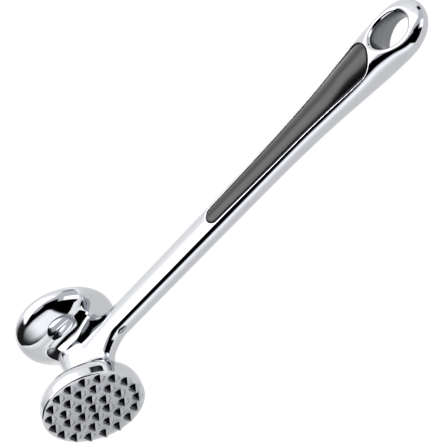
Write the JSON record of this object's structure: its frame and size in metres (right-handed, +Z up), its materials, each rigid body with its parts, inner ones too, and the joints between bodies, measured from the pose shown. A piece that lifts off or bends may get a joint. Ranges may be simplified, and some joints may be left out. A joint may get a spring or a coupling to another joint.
{
  "type": "meat mallet",
  "caption": "Two-faced meat mallet with a spiked disc, a smooth disc and a straight handle ending in a hanging loop.",
  "frame": {"origin": "bottom centre of the mallet's bounding box, on the surface that it lies on", "axes": "+Z up, +X along the handle towards the hanging loop, +Y along the head towards the smooth striking face"},
  "size_m": [0.2666, 0.0604, 0.05],
  "materials": {
    "chrome_plate": "mirror polished plating",
    "stud_steel": "bright zinc",
    "soft_touch": "satin soft touch",
    "carrier_plastic": "matt"
  },
  "bodies": {
    "root": {"handle_casting": "chrome_plate", "spiked_disc": "chrome_plate", "smooth_disc": "chrome_plate", "spiked_disc_stud": "stud_steel", "smooth_disc_stud": "stud_steel", "grip_pad_upper": "soft_touch", "grip_pad_lower": "soft_touch", "pad_carrier_upper": "carrier_plastic", "pad_carrier_lower": "carrier_plastic"}
  },
  "joints": []
}
